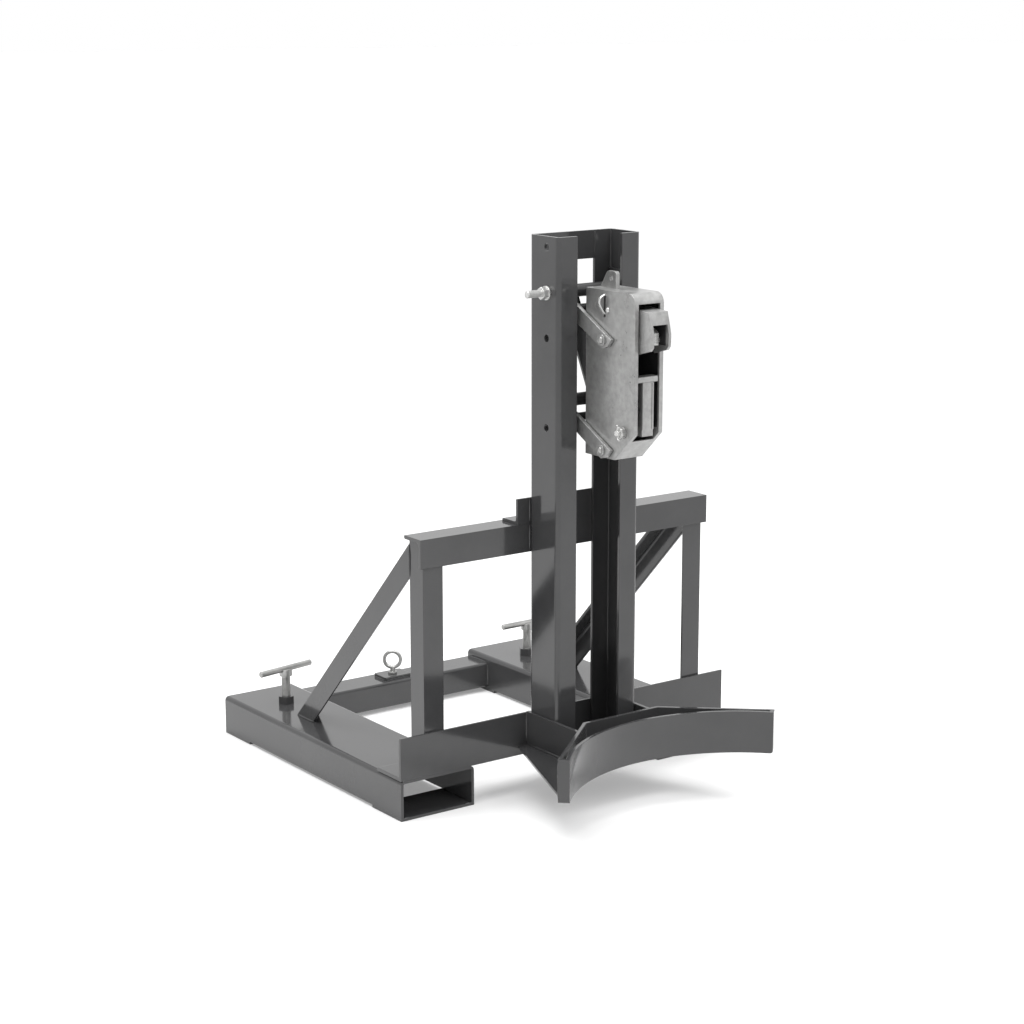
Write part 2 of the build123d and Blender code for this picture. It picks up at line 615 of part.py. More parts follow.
def arm_plane(x, z):
    """Plane of an arm: origin on its pivot, first axis along the arm to the head."""
    length = math.hypot(ARM_DROP, ARM_REACH)
    along = (0, -ARM_REACH / length, -ARM_DROP / length)
    return Plane(origin=(x, PIVOT_Y, z), x_dir=along, z_dir=(-1, 0, 0))


def arm(side, z):
    """Flat bar from a carriage rod down to the head, round behind and cut off in front."""
    half = ARM_WIDTH / 2
    length = math.hypot(ARM_DROP, ARM_REACH)
    outline = Polyline((0, -half), (length + ARM_TOE * 0.3, -half), (length + ARM_TOE * 0.8, -half * 0.3),
                       (length + ARM_TOE, half), (0, half), close=True)
    face = make_face(outline) + Circle(half)
    bar = extrude(arm_plane(-ARM_INNER_X, z) * face, amount=ARM_THICKNESS)
    bar -= rod_x(-MAST_X, 0, PIVOT_Y, z, ROD_DIAMETER + 2 * RUNNING_CLEARANCE)
    bar -= rod_x(-MAST_X, 0, ARM_Y, z - ARM_DROP, PIN_DIAMETER)
    return mirrored(bar, side)


def arm_web(z):
    """Plate that joins the lower edges of the left and right arm behind the head."""
    face = Pos(WEB_START, -ARM_WIDTH / 2) * Rectangle(WEB_LENGTH, WEB_THICKNESS, align=(Align.MIN, Align.MIN))
    return extrude(arm_plane(ARM_INNER_X, z) * face, amount=2 * ARM_INNER_X)


def headed_pin(y, z, half):
    """Pin along X with a flat head on each end."""
    pin = rod_x(-half, half, y, z, PIN_DIAMETER)
    pin += rod_x(-half - PIN_HEAD, -half, y, z, PIN_HEAD_DIAMETER)
    return pin + rod_x(half, half + PIN_HEAD, y, z, PIN_HEAD_DIAMETER)


def head_outline(inset):
    """Side view of the gripping head, inset from its top, foot and slanting toe."""
    toe = math.hypot(HEAD_CUT_Z - HEAD_BOTTOM, HEAD_CUT_Y - HEAD_FRONT_Y)
    step = inset * toe / (HEAD_CUT_Y - HEAD_FRONT_Y)
    slide = inset * (toe - (HEAD_CUT_Y - HEAD_FRONT_Y)) / (HEAD_CUT_Z - HEAD_BOTTOM)
    return [(HEAD_BACK_Y, HEAD_TOP - inset), (HEAD_FRONT_Y, HEAD_TOP - inset),
            (HEAD_FRONT_Y, HEAD_CUT_Z + step), (HEAD_CUT_Y + slide, HEAD_BOTTOM + inset),
            (HEAD_BACK_Y, HEAD_BOTTOM + inset)]


def head_shell():
    """Folded shell of the head: side plates, roof, back and toe, open in front."""
    half = HEAD_WIDTH / 2
    inner_half = half - HEAD_WALL
    outer = side_plate(head_outline(0), -half, half)
    nose = outer.edges().filter_by(Axis.X).sort_by_distance((0, HEAD_FRONT_Y, HEAD_TOP))[0]
    outer = fillet(nose, HEAD_ROUND)
    room = side_plate(head_outline(HEAD_WALL), -inner_half, inner_half)
    corner = room.edges().filter_by(Axis.X).sort_by_distance((0, HEAD_FRONT_Y, HEAD_TOP))[0]
    room = fillet(corner, HEAD_ROUND - HEAD_WALL)
    room = room & block(-half, half, HEAD_FRONT_Y + HEAD_WALL, HEAD_BACK_Y - HEAD_WALL, HEAD_BOTTOM, HEAD_TOP)
    middle = (HEAD_FRONT_Y + HEAD_BACK_Y) / 2
    mouth = block(-MOUTH_HALF, MOUTH_HALF, HEAD_FRONT_Y - HEAD_WALL, middle, MOUTH_BOTTOM, MOUTH_TOP)
    shell = outer - room - mouth
    for y, z, fit in ((ARM_Y, ARM_Z, RUNNING_CLEARANCE), (ARM_Y, ARM_Z - ARM_SPACING, OPEN_CLEARANCE),
                      (BEAK_PIVOT_Y, BEAK_PIVOT_Z, 0), (LEVER_PIVOT_Y, LEVER_PIVOT_Z, 0)):
        shell -= rod_x(-HEAD_WIDTH, HEAD_WIDTH, y, z, PIN_DIAMETER + 2 * fit)
    y0 = SLOT_Y - SLOT_WIDTH / 2
    return shell - block(-half - 1, -inner_half + 1, y0, y0 + SLOT_WIDTH, SLOT_BOTTOM, SLOT_TOP - HEAD_WALL)


def head_lug():
    """Lug on the roof of the head, for a release cord."""
    half = LUG_THICKNESS / 2
    length = LUG_BACK_Y - LUG_FRONT_Y
    points = [(LUG_BACK_Y, HEAD_TOP), (LUG_FRONT_Y, HEAD_TOP), (LUG_FRONT_Y, HEAD_TOP + LUG_HEIGHT),
              (LUG_BACK_Y - length * 0.45, HEAD_TOP + LUG_HEIGHT)]
    lug = side_plate(points, -half, half)
    lug = fillet(lug.edges().filter_by(Axis.X).group_by(Axis.Z)[-1], LUG_HEIGHT * 0.18)
    return lug - rod_x(-HEAD_WIDTH, HEAD_WIDTH, LUG_FRONT_Y + length * 0.3, HEAD_TOP + LUG_HEIGHT * 0.6, 9)


def release_clip():
    """Bent spring strip inside the left side plate, bulging out through the slot."""
    inner = -HEAD_WIDTH / 2 + HEAD_WALL
    out = -HEAD_WIDTH / 2 - CLIP_BULGE
    low = SLOT_BOTTOM - 6
    high = SLOT_TOP - HEAD_WALL - 4
    mid = (SLOT_BOTTOM + high) / 2
    t = CLIP_THICKNESS
    outline = Polyline((inner, low), (inner + t, low), (inner + t, SLOT_BOTTOM + 4), (out + t, mid - 2),
                       (out + t, mid + 6), (inner + t, high), (inner - 1, high), (out, mid + 6 + t / 2),
                       (out, mid - 2 - t / 2), (inner, SLOT_BOTTOM + 4 - t), close=True)
    plane = Plane(origin=(0, SLOT_Y + CLIP_WIDTH / 2, 0), x_dir=(1, 0, 0), z_dir=(0, -1, 0))
    return extrude(plane * make_face(outline), amount=CLIP_WIDTH)


def beak_outline():
    """Side view of the beak: a hub, an arm and a hook that drops over the rim."""
    hub_y = BEAK_PIVOT_Y
    hub_z = BEAK_PIVOT_Z
    tip = BEAK_TIP_Y
    return [(hub_y, hub_z + BEAK_HUB), (tip + 44, BEAK_NOSE_Z + 5), (tip + 10, BEAK_NOSE_Z + 3),
            (tip + 5, BEAK_NOSE_Z - 14), (tip, BEAK_NOSE_Z - 34), (tip + 1, BEAK_LIP_Z + 6), (tip + 6, BEAK_LIP_Z),
            (tip + 38, BEAK_LIP_Z - 9), (tip + 52, BEAK_LIP_Z + 12), (tip + 76, BEAK_LIP_Z + 40),
            (hub_y, hub_z - BEAK_HUB)]


def beak():
    """Forged beak: two cheeks joined by a nose plate over the rim."""
    half = BEAK_WIDTH / 2
    cheeks = side_plate(beak_outline(), -half, half)
    cheeks += rod_x(-half, half, BEAK_PIVOT_Y, BEAK_PIVOT_Z, 2 * BEAK_HUB)
    inner = half - BEAK_WALL
    low = BEAK_NOSE_Z - 18
    gap = block(-inner, inner, BEAK_TIP_Y - BEAK_WIDTH, BEAK_TIP_Y + 52, 0, low)
    gap += block(-inner, inner, BEAK_TIP_Y + 40, BEAK_PIVOT_Y + BEAK_HUB + 1, 0, HEAD_TOP)
    body = cheeks - gap
    return body - rod_x(-half, half, BEAK_PIVOT_Y, BEAK_PIVOT_Z, PIN_DIAMETER + 2 * RUNNING_CLEARANCE) - tooth_pin()


def beak_stop():
    """Cross pin in the side plates that the beak rests on."""
    slope = math.atan2(BEAK_PIVOT_Z - BEAK_HUB - BEAK_LIP_Z - 40, BEAK_PIVOT_Y - BEAK_TIP_Y - 76)
    under = BEAK_PIVOT_Z - BEAK_HUB - (BEAK_PIVOT_Y - STOP_Y) * math.tan(slope)
    z = under - (STOP_DIAMETER / 2 + STOP_GAP) / math.cos(slope)
    inner_half = HEAD_WIDTH / 2 - HEAD_WALL
    return rod_x(-inner_half, inner_half, STOP_Y, z, STOP_DIAMETER)


def tooth_place():
    """Axis of the tooth's pin, as (y, z)."""
    return BEAK_TIP_Y + 27, BEAK_LIP_Z + 15


def tooth_pin():
    """Cross pin that holds the tooth between the cheeks of the beak."""
    y, z = tooth_place()
    return rod_x(-BEAK_WIDTH / 2, BEAK_WIDTH / 2, y, z, TOOTH_PIN)


def beak_tooth():
    """Hardened tooth that bites under the drum rim."""
    y, z = tooth_place()
    half = TOOTH_WIDTH / 2
    points = [(y - 10, z - 8), (y + 11, z - 8), (y + 11, z + 12), (y + 3, z + 20), (y - 10, z + 12)]
    tooth = side_plate(points, -half, half, 2.0)
    return tooth - rod_x(-half, half, y, z, TOOTH_PIN)


def pressure_lever():
    """Lever with a wide head that presses on the drum wall under the rim."""
    back = LEVER_FRONT_Y + LEVER_DEPTH
    bar = block(-LEVER_BAR / 2, LEVER_BAR / 2, LEVER_FRONT_Y, back, LEVER_PIVOT_Z, LEVER_TOP - LEVER_HEAD_HEIGHT)
    head = block(-LEVER_HEAD_WIDTH / 2, LEVER_HEAD_WIDTH / 2, LEVER_FRONT_Y, back + 4,
                 LEVER_TOP - LEVER_HEAD_HEIGHT, LEVER_TOP)
    head = fillet(head.edges().filter_by(Axis.X), 2.0)
    hub = rod_x(-LEVER_HUB_WIDTH / 2, LEVER_HUB_WIDTH / 2, LEVER_PIVOT_Y, LEVER_PIVOT_Z, 2 * LEVER_HUB)
    neck = block(-LEVER_BAR / 2, LEVER_BAR / 2, LEVER_FRONT_Y, LEVER_PIVOT_Y,
                 LEVER_PIVOT_Z - LEVER_HUB * 0.5, LEVER_PIVOT_Z + LEVER_HUB)
    lever = bar + head + hub + neck
    return lever - rod_x(-HEAD_WIDTH, HEAD_WIDTH, LEVER_PIVOT_Y, LEVER_PIVOT_Z, PIN_DIAMETER + 2 * RUNNING_CLEARANCE)


def both_sides(name, make):
    """Left and right pieces, named after their side."""
    return {name + "_left": make(LEFT), name + "_right": make(RIGHT)}


def all_nodes():
    """Every piece of the lifter by name."""
    nodes = {}
    nodes.update(both_sides("fork_pocket", fork_pocket))
    nodes.update(both_sides("front_strap", lambda side: pocket_strap(side, 0)))
    nodes.update(both_sides("rear_strap", lambda side: pocket_strap(side, POCKET_LENGTH - STRAP_LENGTH)))
    nodes["front_crossbar"] = front_crossbar()
    nodes["rear_crossbar"] = rear_crossbar()
    nodes.update(both_sides("upright", upright))
    nodes["upper_crossbar"] = upper_crossbar()
    nodes.update(both_sides("brace", brace))
    nodes.update(both_sides("mast_channel", mast_channel))
    nodes["mast_spacer"] = mast_spacer()
    nodes["mast_bracket"] = mast_bracket()
    nodes["saddle_band"] = saddle_band()
    nodes["saddle_back_plate"] = saddle_back()
    nodes["saddle_base_plate"] = saddle_base()
    nodes.update(both_sides("cheek_plate", cheek_plate))
    nodes["weld_nuts"] = weld_nuts()
    nodes.update(both_sides("screw_spindle", screw_spindle))
    nodes.update(both_sides("screw_handle", screw_handle))
    nodes.update(both_sides("screw_pad", screw_pad))
    nodes["chain_eye_plate"] = eye_plate()
    nodes["chain_eyebolt"] = eyebolt()
    nodes["chain_eye_nut"] = eye_nut()
    nodes.update(both_sides("carriage_side", carriage_side))
    nodes["carriage_upper_tube"] = upper_tube()
    nodes["carriage_lower_tube"] = lower_tube()
    nodes["pivot_rods"] = pivot_rods()
    nodes["carriage_tie"] = carriage_tie()
    nodes["pivot_collars"] = pivot_collars()
    nodes["height_bolt"] = height_bolt()
    nodes["height_bolt_washers"] = bolt_washers()
    nodes["height_bolt_nut"] = bolt_nut()
    nodes.update(both_sides("upper_arm", lambda side: arm(side, PIVOT_Z)))
    nodes.update(both_sides("lower_arm", lambda side: arm(side, LOWER_PIVOT_Z)))
    nodes["upper_arm_web"] = arm_web(PIVOT_Z)
    nodes["lower_arm_web"] = arm_web(LOWER_PIVOT_Z)
    nodes["upper_arm_pin"] = headed_pin(ARM_Y, ARM_Z, ARM_OUTER_X)
    nodes["lower_arm_pin"] = headed_pin(ARM_Y, ARM_Z - ARM_SPACING, ARM_OUTER_X)
    nodes["head_shell"] = head_shell()
    nodes["head_lug"] = head_lug()
    nodes["release_clip"] = release_clip()
    nodes["beak_pin"] = rod_x(-HEAD_WIDTH / 2, HEAD_WIDTH / 2, BEAK_PIVOT_Y, BEAK_PIVOT_Z, PIN_DIAMETER)
    nodes["lever_pin"] = headed_pin(LEVER_PIVOT_Y, LEVER_PIVOT_Z, HEAD_WIDTH / 2)
    nodes["beak_stop"] = beak_stop()
    nodes["grip_beak"] = beak()
    nodes["beak_tooth_pin"] = tooth_pin()
    nodes["beak_tooth"] = beak_tooth()
    nodes["pressure_lever"] = pressure_lever()
    return nodes


def main():
    os.makedirs("parts", exist_ok=True)
    for name, part in all_nodes().items():
        export_step(Pos(0, SHIFT_Y, 0) * part, "parts/" + name + ".step")


main()
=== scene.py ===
import json
import math
from collections import namedtuple

import bmesh
import bpy
from mathutils import Matrix, Vector


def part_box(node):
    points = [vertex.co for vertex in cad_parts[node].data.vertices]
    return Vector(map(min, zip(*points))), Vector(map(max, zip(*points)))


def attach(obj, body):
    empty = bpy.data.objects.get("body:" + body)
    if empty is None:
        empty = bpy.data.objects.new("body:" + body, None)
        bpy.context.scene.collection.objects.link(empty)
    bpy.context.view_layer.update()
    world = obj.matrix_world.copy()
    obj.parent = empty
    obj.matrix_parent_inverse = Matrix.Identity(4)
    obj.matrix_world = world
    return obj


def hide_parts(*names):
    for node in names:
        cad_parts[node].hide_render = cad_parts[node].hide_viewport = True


# Looks of the drum lifter: paint, zinc, weld seams, threads, small fasteners, floor, light and camera.
# Places are millimetres with y = 0 at the fronts of the fork pockets, worked out from the frame's nodes.
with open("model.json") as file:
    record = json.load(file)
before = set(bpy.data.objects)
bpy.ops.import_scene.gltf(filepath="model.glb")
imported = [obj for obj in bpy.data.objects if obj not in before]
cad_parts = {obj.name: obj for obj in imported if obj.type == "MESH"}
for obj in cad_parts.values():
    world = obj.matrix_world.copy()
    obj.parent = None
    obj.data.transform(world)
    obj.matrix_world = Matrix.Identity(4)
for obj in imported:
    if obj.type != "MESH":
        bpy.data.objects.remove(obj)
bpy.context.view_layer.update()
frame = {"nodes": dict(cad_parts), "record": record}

MM = 0.001
POCKET_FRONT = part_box("fork_pocket_left")[0].y / MM
SIDES = {"left": -1, "right": 1}
Box = namedtuple("Box", "x0 x1 y0 y1 z0 z1")


def place(x, y, z):
    """Point of the shared frame, in metres."""
    return Vector((x * MM, (y + POCKET_FRONT) * MM, z * MM))


def node_box(name):
    """Box of a node at rest, to a hundredth of a millimetre."""
    low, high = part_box(name)
    xs = (low.x / MM, high.x / MM)
    ys = (low.y / MM - POCKET_FRONT, high.y / MM - POCKET_FRONT)
    zs = (low.z / MM, high.z / MM)
    return Box(*[round(value, 2) for value in xs + ys + zs])


def axis_of(box):
    """Depth and height of the axis of a pin or bolt that lies along X, to a tenth of a millimetre."""
    return round((box.y0 + box.y1) / 2, 1), round((box.z0 + box.z1) / 2, 1)


# Materials

FINE_RELIEF = 0.0004


def grey(level):
    return (level, level, level)


def new_material(name):
    material = bpy.data.materials.new(name)
    material.use_nodes = True
    tree = material.node_tree
    shader = tree.nodes["Principled BSDF"]
    return material, tree, shader


def noise(tree, scale, detail, roughness=0.55, stretch=(1, 1, 1)):
    coords = tree.nodes.new("ShaderNodeTexCoord")
    mapping = tree.nodes.new("ShaderNodeMapping")
    mapping.inputs["Scale"].default_value = stretch
    texture = tree.nodes.new("ShaderNodeTexNoise")
    texture.inputs["Scale"].default_value = scale
    texture.inputs["Detail"].default_value = detail
    texture.inputs["Roughness"].default_value = roughness
    tree.links.new(coords.outputs["Object"], mapping.inputs["Vector"])
    tree.links.new(mapping.outputs["Vector"], texture.inputs["Vector"])
    return texture.outputs["Fac"]


def spangle(tree, scale):
    """Grey flakes like the crystals of a zinc plate."""
    coords = tree.nodes.new("ShaderNodeTexCoord")
    cells = tree.nodes.new("ShaderNodeTexVoronoi")
    cells.inputs["Scale"].default_value = scale
    flakes = tree.nodes.new("ShaderNodeRGBToBW")
    tree.links.new(coords.outputs["Object"], cells.inputs["Vector"])
    tree.links.new(cells.outputs["Color"], flakes.inputs["Color"])
    return flakes.outputs["Val"]


def spread(tree, source, low, high, start=0.3, end=0.7):
    """Maps a 0 to 1 noise onto a range of values."""
    node = tree.nodes.new("ShaderNodeMapRange")
    node.inputs["From Min"].default_value = start
    node.inputs["From Max"].default_value = end
    node.inputs["To Min"].default_value = low
    node.inputs["To Max"].default_value = high
    tree.links.new(source, node.inputs["Value"])
    return node.outputs["Result"]


def two_tone(tree, source, dark, light, start=0.3, end=0.7):
    """Maps a 0 to 1 value onto a run from one colour to another."""
    ramp = tree.nodes.new("ShaderNodeValToRGB")
    ramp.color_ramp.elements[0].position = start
    ramp.color_ramp.elements[1].position = end
    ramp.color_ramp.elements[0].color = (*dark, 1)
    ramp.color_ramp.elements[1].color = (*light, 1)
    tree.links.new(source, ramp.inputs["Fac"])
    return ramp.outputs["Color"]


def multiply(tree, first, second, factor):
    mix = tree.nodes.new("ShaderNodeMix")
    mix.data_type = "RGBA"
    mix.blend_type = "MULTIPLY"
    mix.inputs["Factor"].default_value = factor
    tree.links.new(first, mix.inputs["A"])
    tree.links.new(second, mix.inputs["B"])
    return mix.outputs["Result"]


def bump(tree, shader, source, strength, edge):
    """Fine relief, on edges that catch the light as if rounded off by edge millimetres."""
    rounded = tree.nodes.new("ShaderNodeBevel")
    rounded.samples = 4
    rounded.inputs["Radius"].default_value = edge * MM
    node = tree.nodes.new("ShaderNodeBump")
    tree.links.new(rounded.outputs["Normal"], node.inputs["Normal"])
    node.inputs["Strength"].default_value = strength
    node.inputs["Distance"].default_value = FINE_RELIEF
    tree.links.new(source, node.inputs["Height"])
    tree.links.new(node.outputs["Normal"], shader.inputs["Normal"])


def paint_material(name, dark, light, gloss, coat):
    """Glossy machine paint with a faint orange peel. Its roughness runs over the two values of gloss."""
    material, tree, shader = new_material(name)
    cloud = noise(tree, scale=9.0, detail=5.0)
    peel = noise(tree, scale=420.0, detail=2.0)
    tree.links.new(two_tone(tree, cloud, dark, light), shader.inputs["Base Color"])
    tree.links.new(spread(tree, cloud, *gloss), shader.inputs["Roughness"])
    shader.inputs["Specular IOR Level"].default_value = 0.46
    shader.inputs["Coat Weight"].default_value = coat
    shader.inputs["Coat Roughness"].default_value = 0.04
    bump(tree, shader, peel, strength=0.12, edge=1.4)
    return material


def zinc_material(name, dark, light, gloss, metal):
    """Zinc plate: cloudy grey with a fine spangle, dull specks and faint rolling lines."""
    material, tree, shader = new_material(name)
    cloud = noise(tree, scale=22.0, detail=6.0, roughness=0.6, stretch=(1, 1, 0.7))
    grain = noise(tree, scale=260.0, detail=3.0, roughness=0.6, stretch=(1, 1, 0.2))
    specks = noise(tree, scale=95.0, detail=7.0, roughness=0.7)
    speck_tone = two_tone(tree, specks, grey(0.6), grey(1.0), start=0.3, end=0.62)
    tone = two_tone(tree, cloud, dark, light)
    tone = multiply(tree, tone, speck_tone, factor=0.55)
    tone = multiply(tree, tone, spangle(tree, scale=160.0), factor=0.1)
    tree.links.new(tone, shader.inputs["Base Color"])
    tree.links.new(spread(tree, cloud, *gloss), shader.inputs["Roughness"])
    shader.inputs["Metallic"].default_value = metal
    bump(tree, shader, grain, strength=0.2, edge=1.9)
    return material


PAINTS = {
    "frame_paint": ((0.034, 0.034, 0.035), (0.044, 0.044, 0.045), (0.09, 0.16), 0.2),
    "black_steel": ((0.012, 0.012, 0.012), (0.02, 0.02, 0.021), (0.3, 0.42), 0.2),
}
ZINCS = {
    "zinc": ((0.31, 0.31, 0.306), (0.44, 0.44, 0.435), (0.26, 0.4), 0.7),
    "bolt_zinc": ((0.32, 0.32, 0.315), (0.44, 0.44, 0.43), (0.24, 0.38), 0.8),
    # The last zinc is a lighter copy of the same zinc: painted highlight for the tooth, the height bolt
    # and the small pins, nut, rivet and clip.
    "zinc_painted_highlight": ((0.56, 0.56, 0.55), (0.72, 0.72, 0.71), (0.2, 0.34), 0.8),
}
MATERIALS = {name: paint_material(name, *values) for name, values in PAINTS.items()}
MATERIALS.update({name: zinc_material(name, *values) for name, values in ZINCS.items()})

SLOT_OF = {entry["node"]: entry["material_slot"] for entry in frame["record"]["subparts"]}
# Parts shown in the lighter copy of the zinc, as painted highlight.
PAINTED_HIGHLIGHT_NODES = ("beak_tooth", "height_bolt", "height_bolt_washers", "height_bolt_nut")


def dress(obj, look):
    obj.data.materials.clear()
    obj.data.materials.append(MATERIALS[look])


for node_name, node in frame["nodes"].items():
    dress(node, "zinc_painted_highlight" if node_name in PAINTED_HIGHLIGHT_NODES else SLOT_OF[node_name])


# Meshes

def finished_mesh(name, bm):
    mesh = bpy.data.meshes.new(name)
    bmesh.ops.recalc_face_normals(bm, faces=bm.faces)
    bm.to_mesh(mesh)
    bm.free()
    return mesh


def across(along):
    """Two directions at right angles to a direction and to each other."""
    up = Vector((0, 0, 1)) if abs(along.z) < 0.9 else Vector((0, 1, 0))
    u = along.cross(up).normalized()
    return u, along.cross(u)


def circle(radius, count, turned=0.0):
    """Points round a circle, as pairs."""
    angles = [2 * math.pi * k / count + turned for k in range(count)]
    return [(radius * math.cos(angle), radius * math.sin(angle)) for angle in angles]


def join_rings(bm, rings):
    """Walls between rings of equally many vertices."""
    count = len(rings[0])
    for first, second in zip(rings, rings[1:]):
        for k in range(count):
            after = (k + 1) % count
            bm.faces.new((first[k], first[after], second[after], second[k]))


def close_ends(bm, rings):
    bm.faces.new(list(reversed(rings[0])))
    bm.faces.new(rings[-1])


def weld_mesh(name, lines, radius, sides=8):
    """Weld beads along straight lines, rippled like a run of weld puddles and tapered at both ends."""
    puddle = 1.6 * MM
    ripple, ripple_step = 0.13, 0.8 * math.pi
    drift, drift_step = 0.07, 0.37
    end_share, end_slope, end_length = 0.35, 4.0, 0.03
    bm = bmesh.new()
    for start, end in lines:
        start, end = place(*start), place(*end)
        along = end - start
        length = along.length
        along.normalize()
        u, v = across(along)
        count = max(6, int(length / puddle))
        rings = []
        for i in range(count + 1):
            t = i / count
            swell = 1.0 + ripple * math.cos(i * ripple_step) + drift * math.sin(i * drift_step)
            taper = min(1.0, end_share + end_slope * min(t, 1 - t) * length / (end_length + length))
            centre = start + along * (length * t)
            section = circle(radius * MM * swell * taper, sides)
            rings.append([bm.verts.new(centre + u * a + v * b) for a, b in section])
        join_rings(bm, rings)
        close_ends(bm, rings)
    return finished_mesh(name, bm)


def thread_mesh(name, start, axis, length, radius, pitch, turn_steps=24):
    """Helical ridge of triangular section round a screw of the given radius."""
    depth = 0.35
    foot = 0.42 * pitch * MM
    bm = bmesh.new()
    axis = Vector(axis)
    u, v = across(axis)
    start = place(*start)
    steps = int(length / pitch * turn_steps)
    rings = []
    for i in range(steps + 1):
        angle = 2 * math.pi * i / turn_steps
        out = u * math.cos(angle) + v * math.sin(angle)
        base = start + axis * (length * MM * i / steps)
        rings.append([bm.verts.new(base - axis * foot + out * (radius * MM)),
                      bm.verts.new(base + out * ((radius + depth) * MM)),
                      bm.verts.new(base + axis * foot + out * (radius * MM))])
    join_rings(bm, rings)
    close_ends(bm, rings)
    return finished_mesh(name, bm)


def box_mesh(name, boxes):
    faces = ((0, 2, 3, 1), (4, 5, 7, 6), (0, 1, 5, 4), (2, 6, 7, 3), (0, 4, 6, 2), (1, 3, 7, 5))
    bm = bmesh.new()
    for box in boxes:
        corners = [bm.verts.new(place(x, y, z))
                   for z in (box.z0, box.z1) for y in (box.y0, box.y1) for x in (box.x0, box.x1)]
        for face in faces:
            bm.faces.new([corners[i] for i in face])
    return finished_mesh(name, bm)


def dome_mesh(name, x, y, z, radius, height, side, rows=6, count=28):
    """Domed cap on a face across X, bulging towards -X or +X."""
    bm = bmesh.new()
    rings = []
    for i in range(rows):
        angle = math.pi / 2 * i / rows
        out = side * height * math.sin(angle)
        rings.append([bm.verts.new(place(x + out, y + a, z + b))
                      for a, b in circle(radius * math.cos(angle), count)])
    tip = bm.verts.new(place(x + side * height, y, z))
    join_rings(bm, rings)
    for k in range(count):
        bm.faces.new((rings[-1][k], rings[-1][(k + 1) % count], tip))
    bm.faces.new(list(reversed(rings[0])))
    return finished_mesh(name, bm)


def sweep_mesh(name, path, section):
    """Bar swept along a path, with its section given as offsets outwards and flat across the path."""
    bm = bmesh.new()
    points = [place(*point) for point in path]
    rings = []
    for i, point in enumerate(points):
        before = points[max(i - 1, 0)]
        after = points[min(i + 1, len(points) - 1)]
        along = (after - before).normalized()
        flat = Vector((0, 1, 0)) if abs(along.y) < 0.9 else Vector((0, 0, 1))
        out = along.cross(flat).normalized()
        flat = out.cross(along)
        rings.append([bm.verts.new(point + out * (a * MM) + flat * (b * MM)) for a, b in section])
    join_rings(bm, rings)
    close_ends(bm, rings)
    return finished_mesh(name, bm)


def smoothed(path, rounds=3):
    """Rounds off a path by cutting its corners."""
    for _ in range(rounds):
        cut = [path[0]]
        for a, b in zip(path, path[1:]):
            cut.append(tuple(p * 0.75 + q * 0.25 for p, q in zip(a, b)))
            cut.append(tuple(p * 0.25 + q * 0.75 for p, q in zip(a, b)))
        path = cut + [path[-1]]
    return path


def nut_mesh(name, x, y, z, side, flats, height):
    """Hexagon nut on an axis along X, with its outer face chamfered."""
    chamfer, face_share = 1.2, 0.86
    turned = 0.3
    corner = flats / math.sqrt(3)
    bm = bmesh.new()
    rings = []
    for out, radius in ((0, corner), (height - chamfer, corner), (height, corner * face_share)):
        rings.append([bm.verts.new(place(x + side * out, y + a, z + b))
                      for a, b in circle(radius, 6, turned)])
    join_rings(bm, rings)
    close_ends(bm, rings)
    return finished_mesh(name, bm)


def add_piece(mesh, body, slot, look=None, smooth=True):
    """Piece that rides on a body, in its slot's finish or in another look."""
    obj = bpy.data.objects.new(mesh.name, mesh)
    bpy.context.scene.collection.objects.link(obj)
    if smooth:
        for polygon in mesh.polygons:
            polygon.use_smooth = True
    dress(obj, look or slot)
    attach(obj, body)
    return obj


# Weld beads of the frame. Most stop a few millimetres short of the edges they run along.

def bead(x, y, z):
    """Line along the one axis that is given as a pair."""
    spans = [value if isinstance(value, tuple) else (value, value) for value in (x, y, z)]
    return tuple(zip(*spans))


def both(lines):
    """Lines given for the left side, with their mirror images."""
    return lines + [tuple((-x, y, z) for x, y, z in line) for line in lines]


pocket = node_box("fork_pocket_left")
strap = node_box("front_strap_left")
crossbar = node_box("front_crossbar")
upper_bar = node_box("upper_crossbar")
rear_bar = node_box("rear_crossbar")
upright = node_box("upright_left")
brace = node_box("brace_left")
channel = node_box("mast_channel_left")
bracket = node_box("mast_bracket")
spacer = node_box("mast_spacer")
cheek = node_box("cheek_plate_left")
band = node_box("saddle_band")
eye_plate = node_box("chain_eye_plate")
LIP_X, LIP_Y = -229.4, -274.0

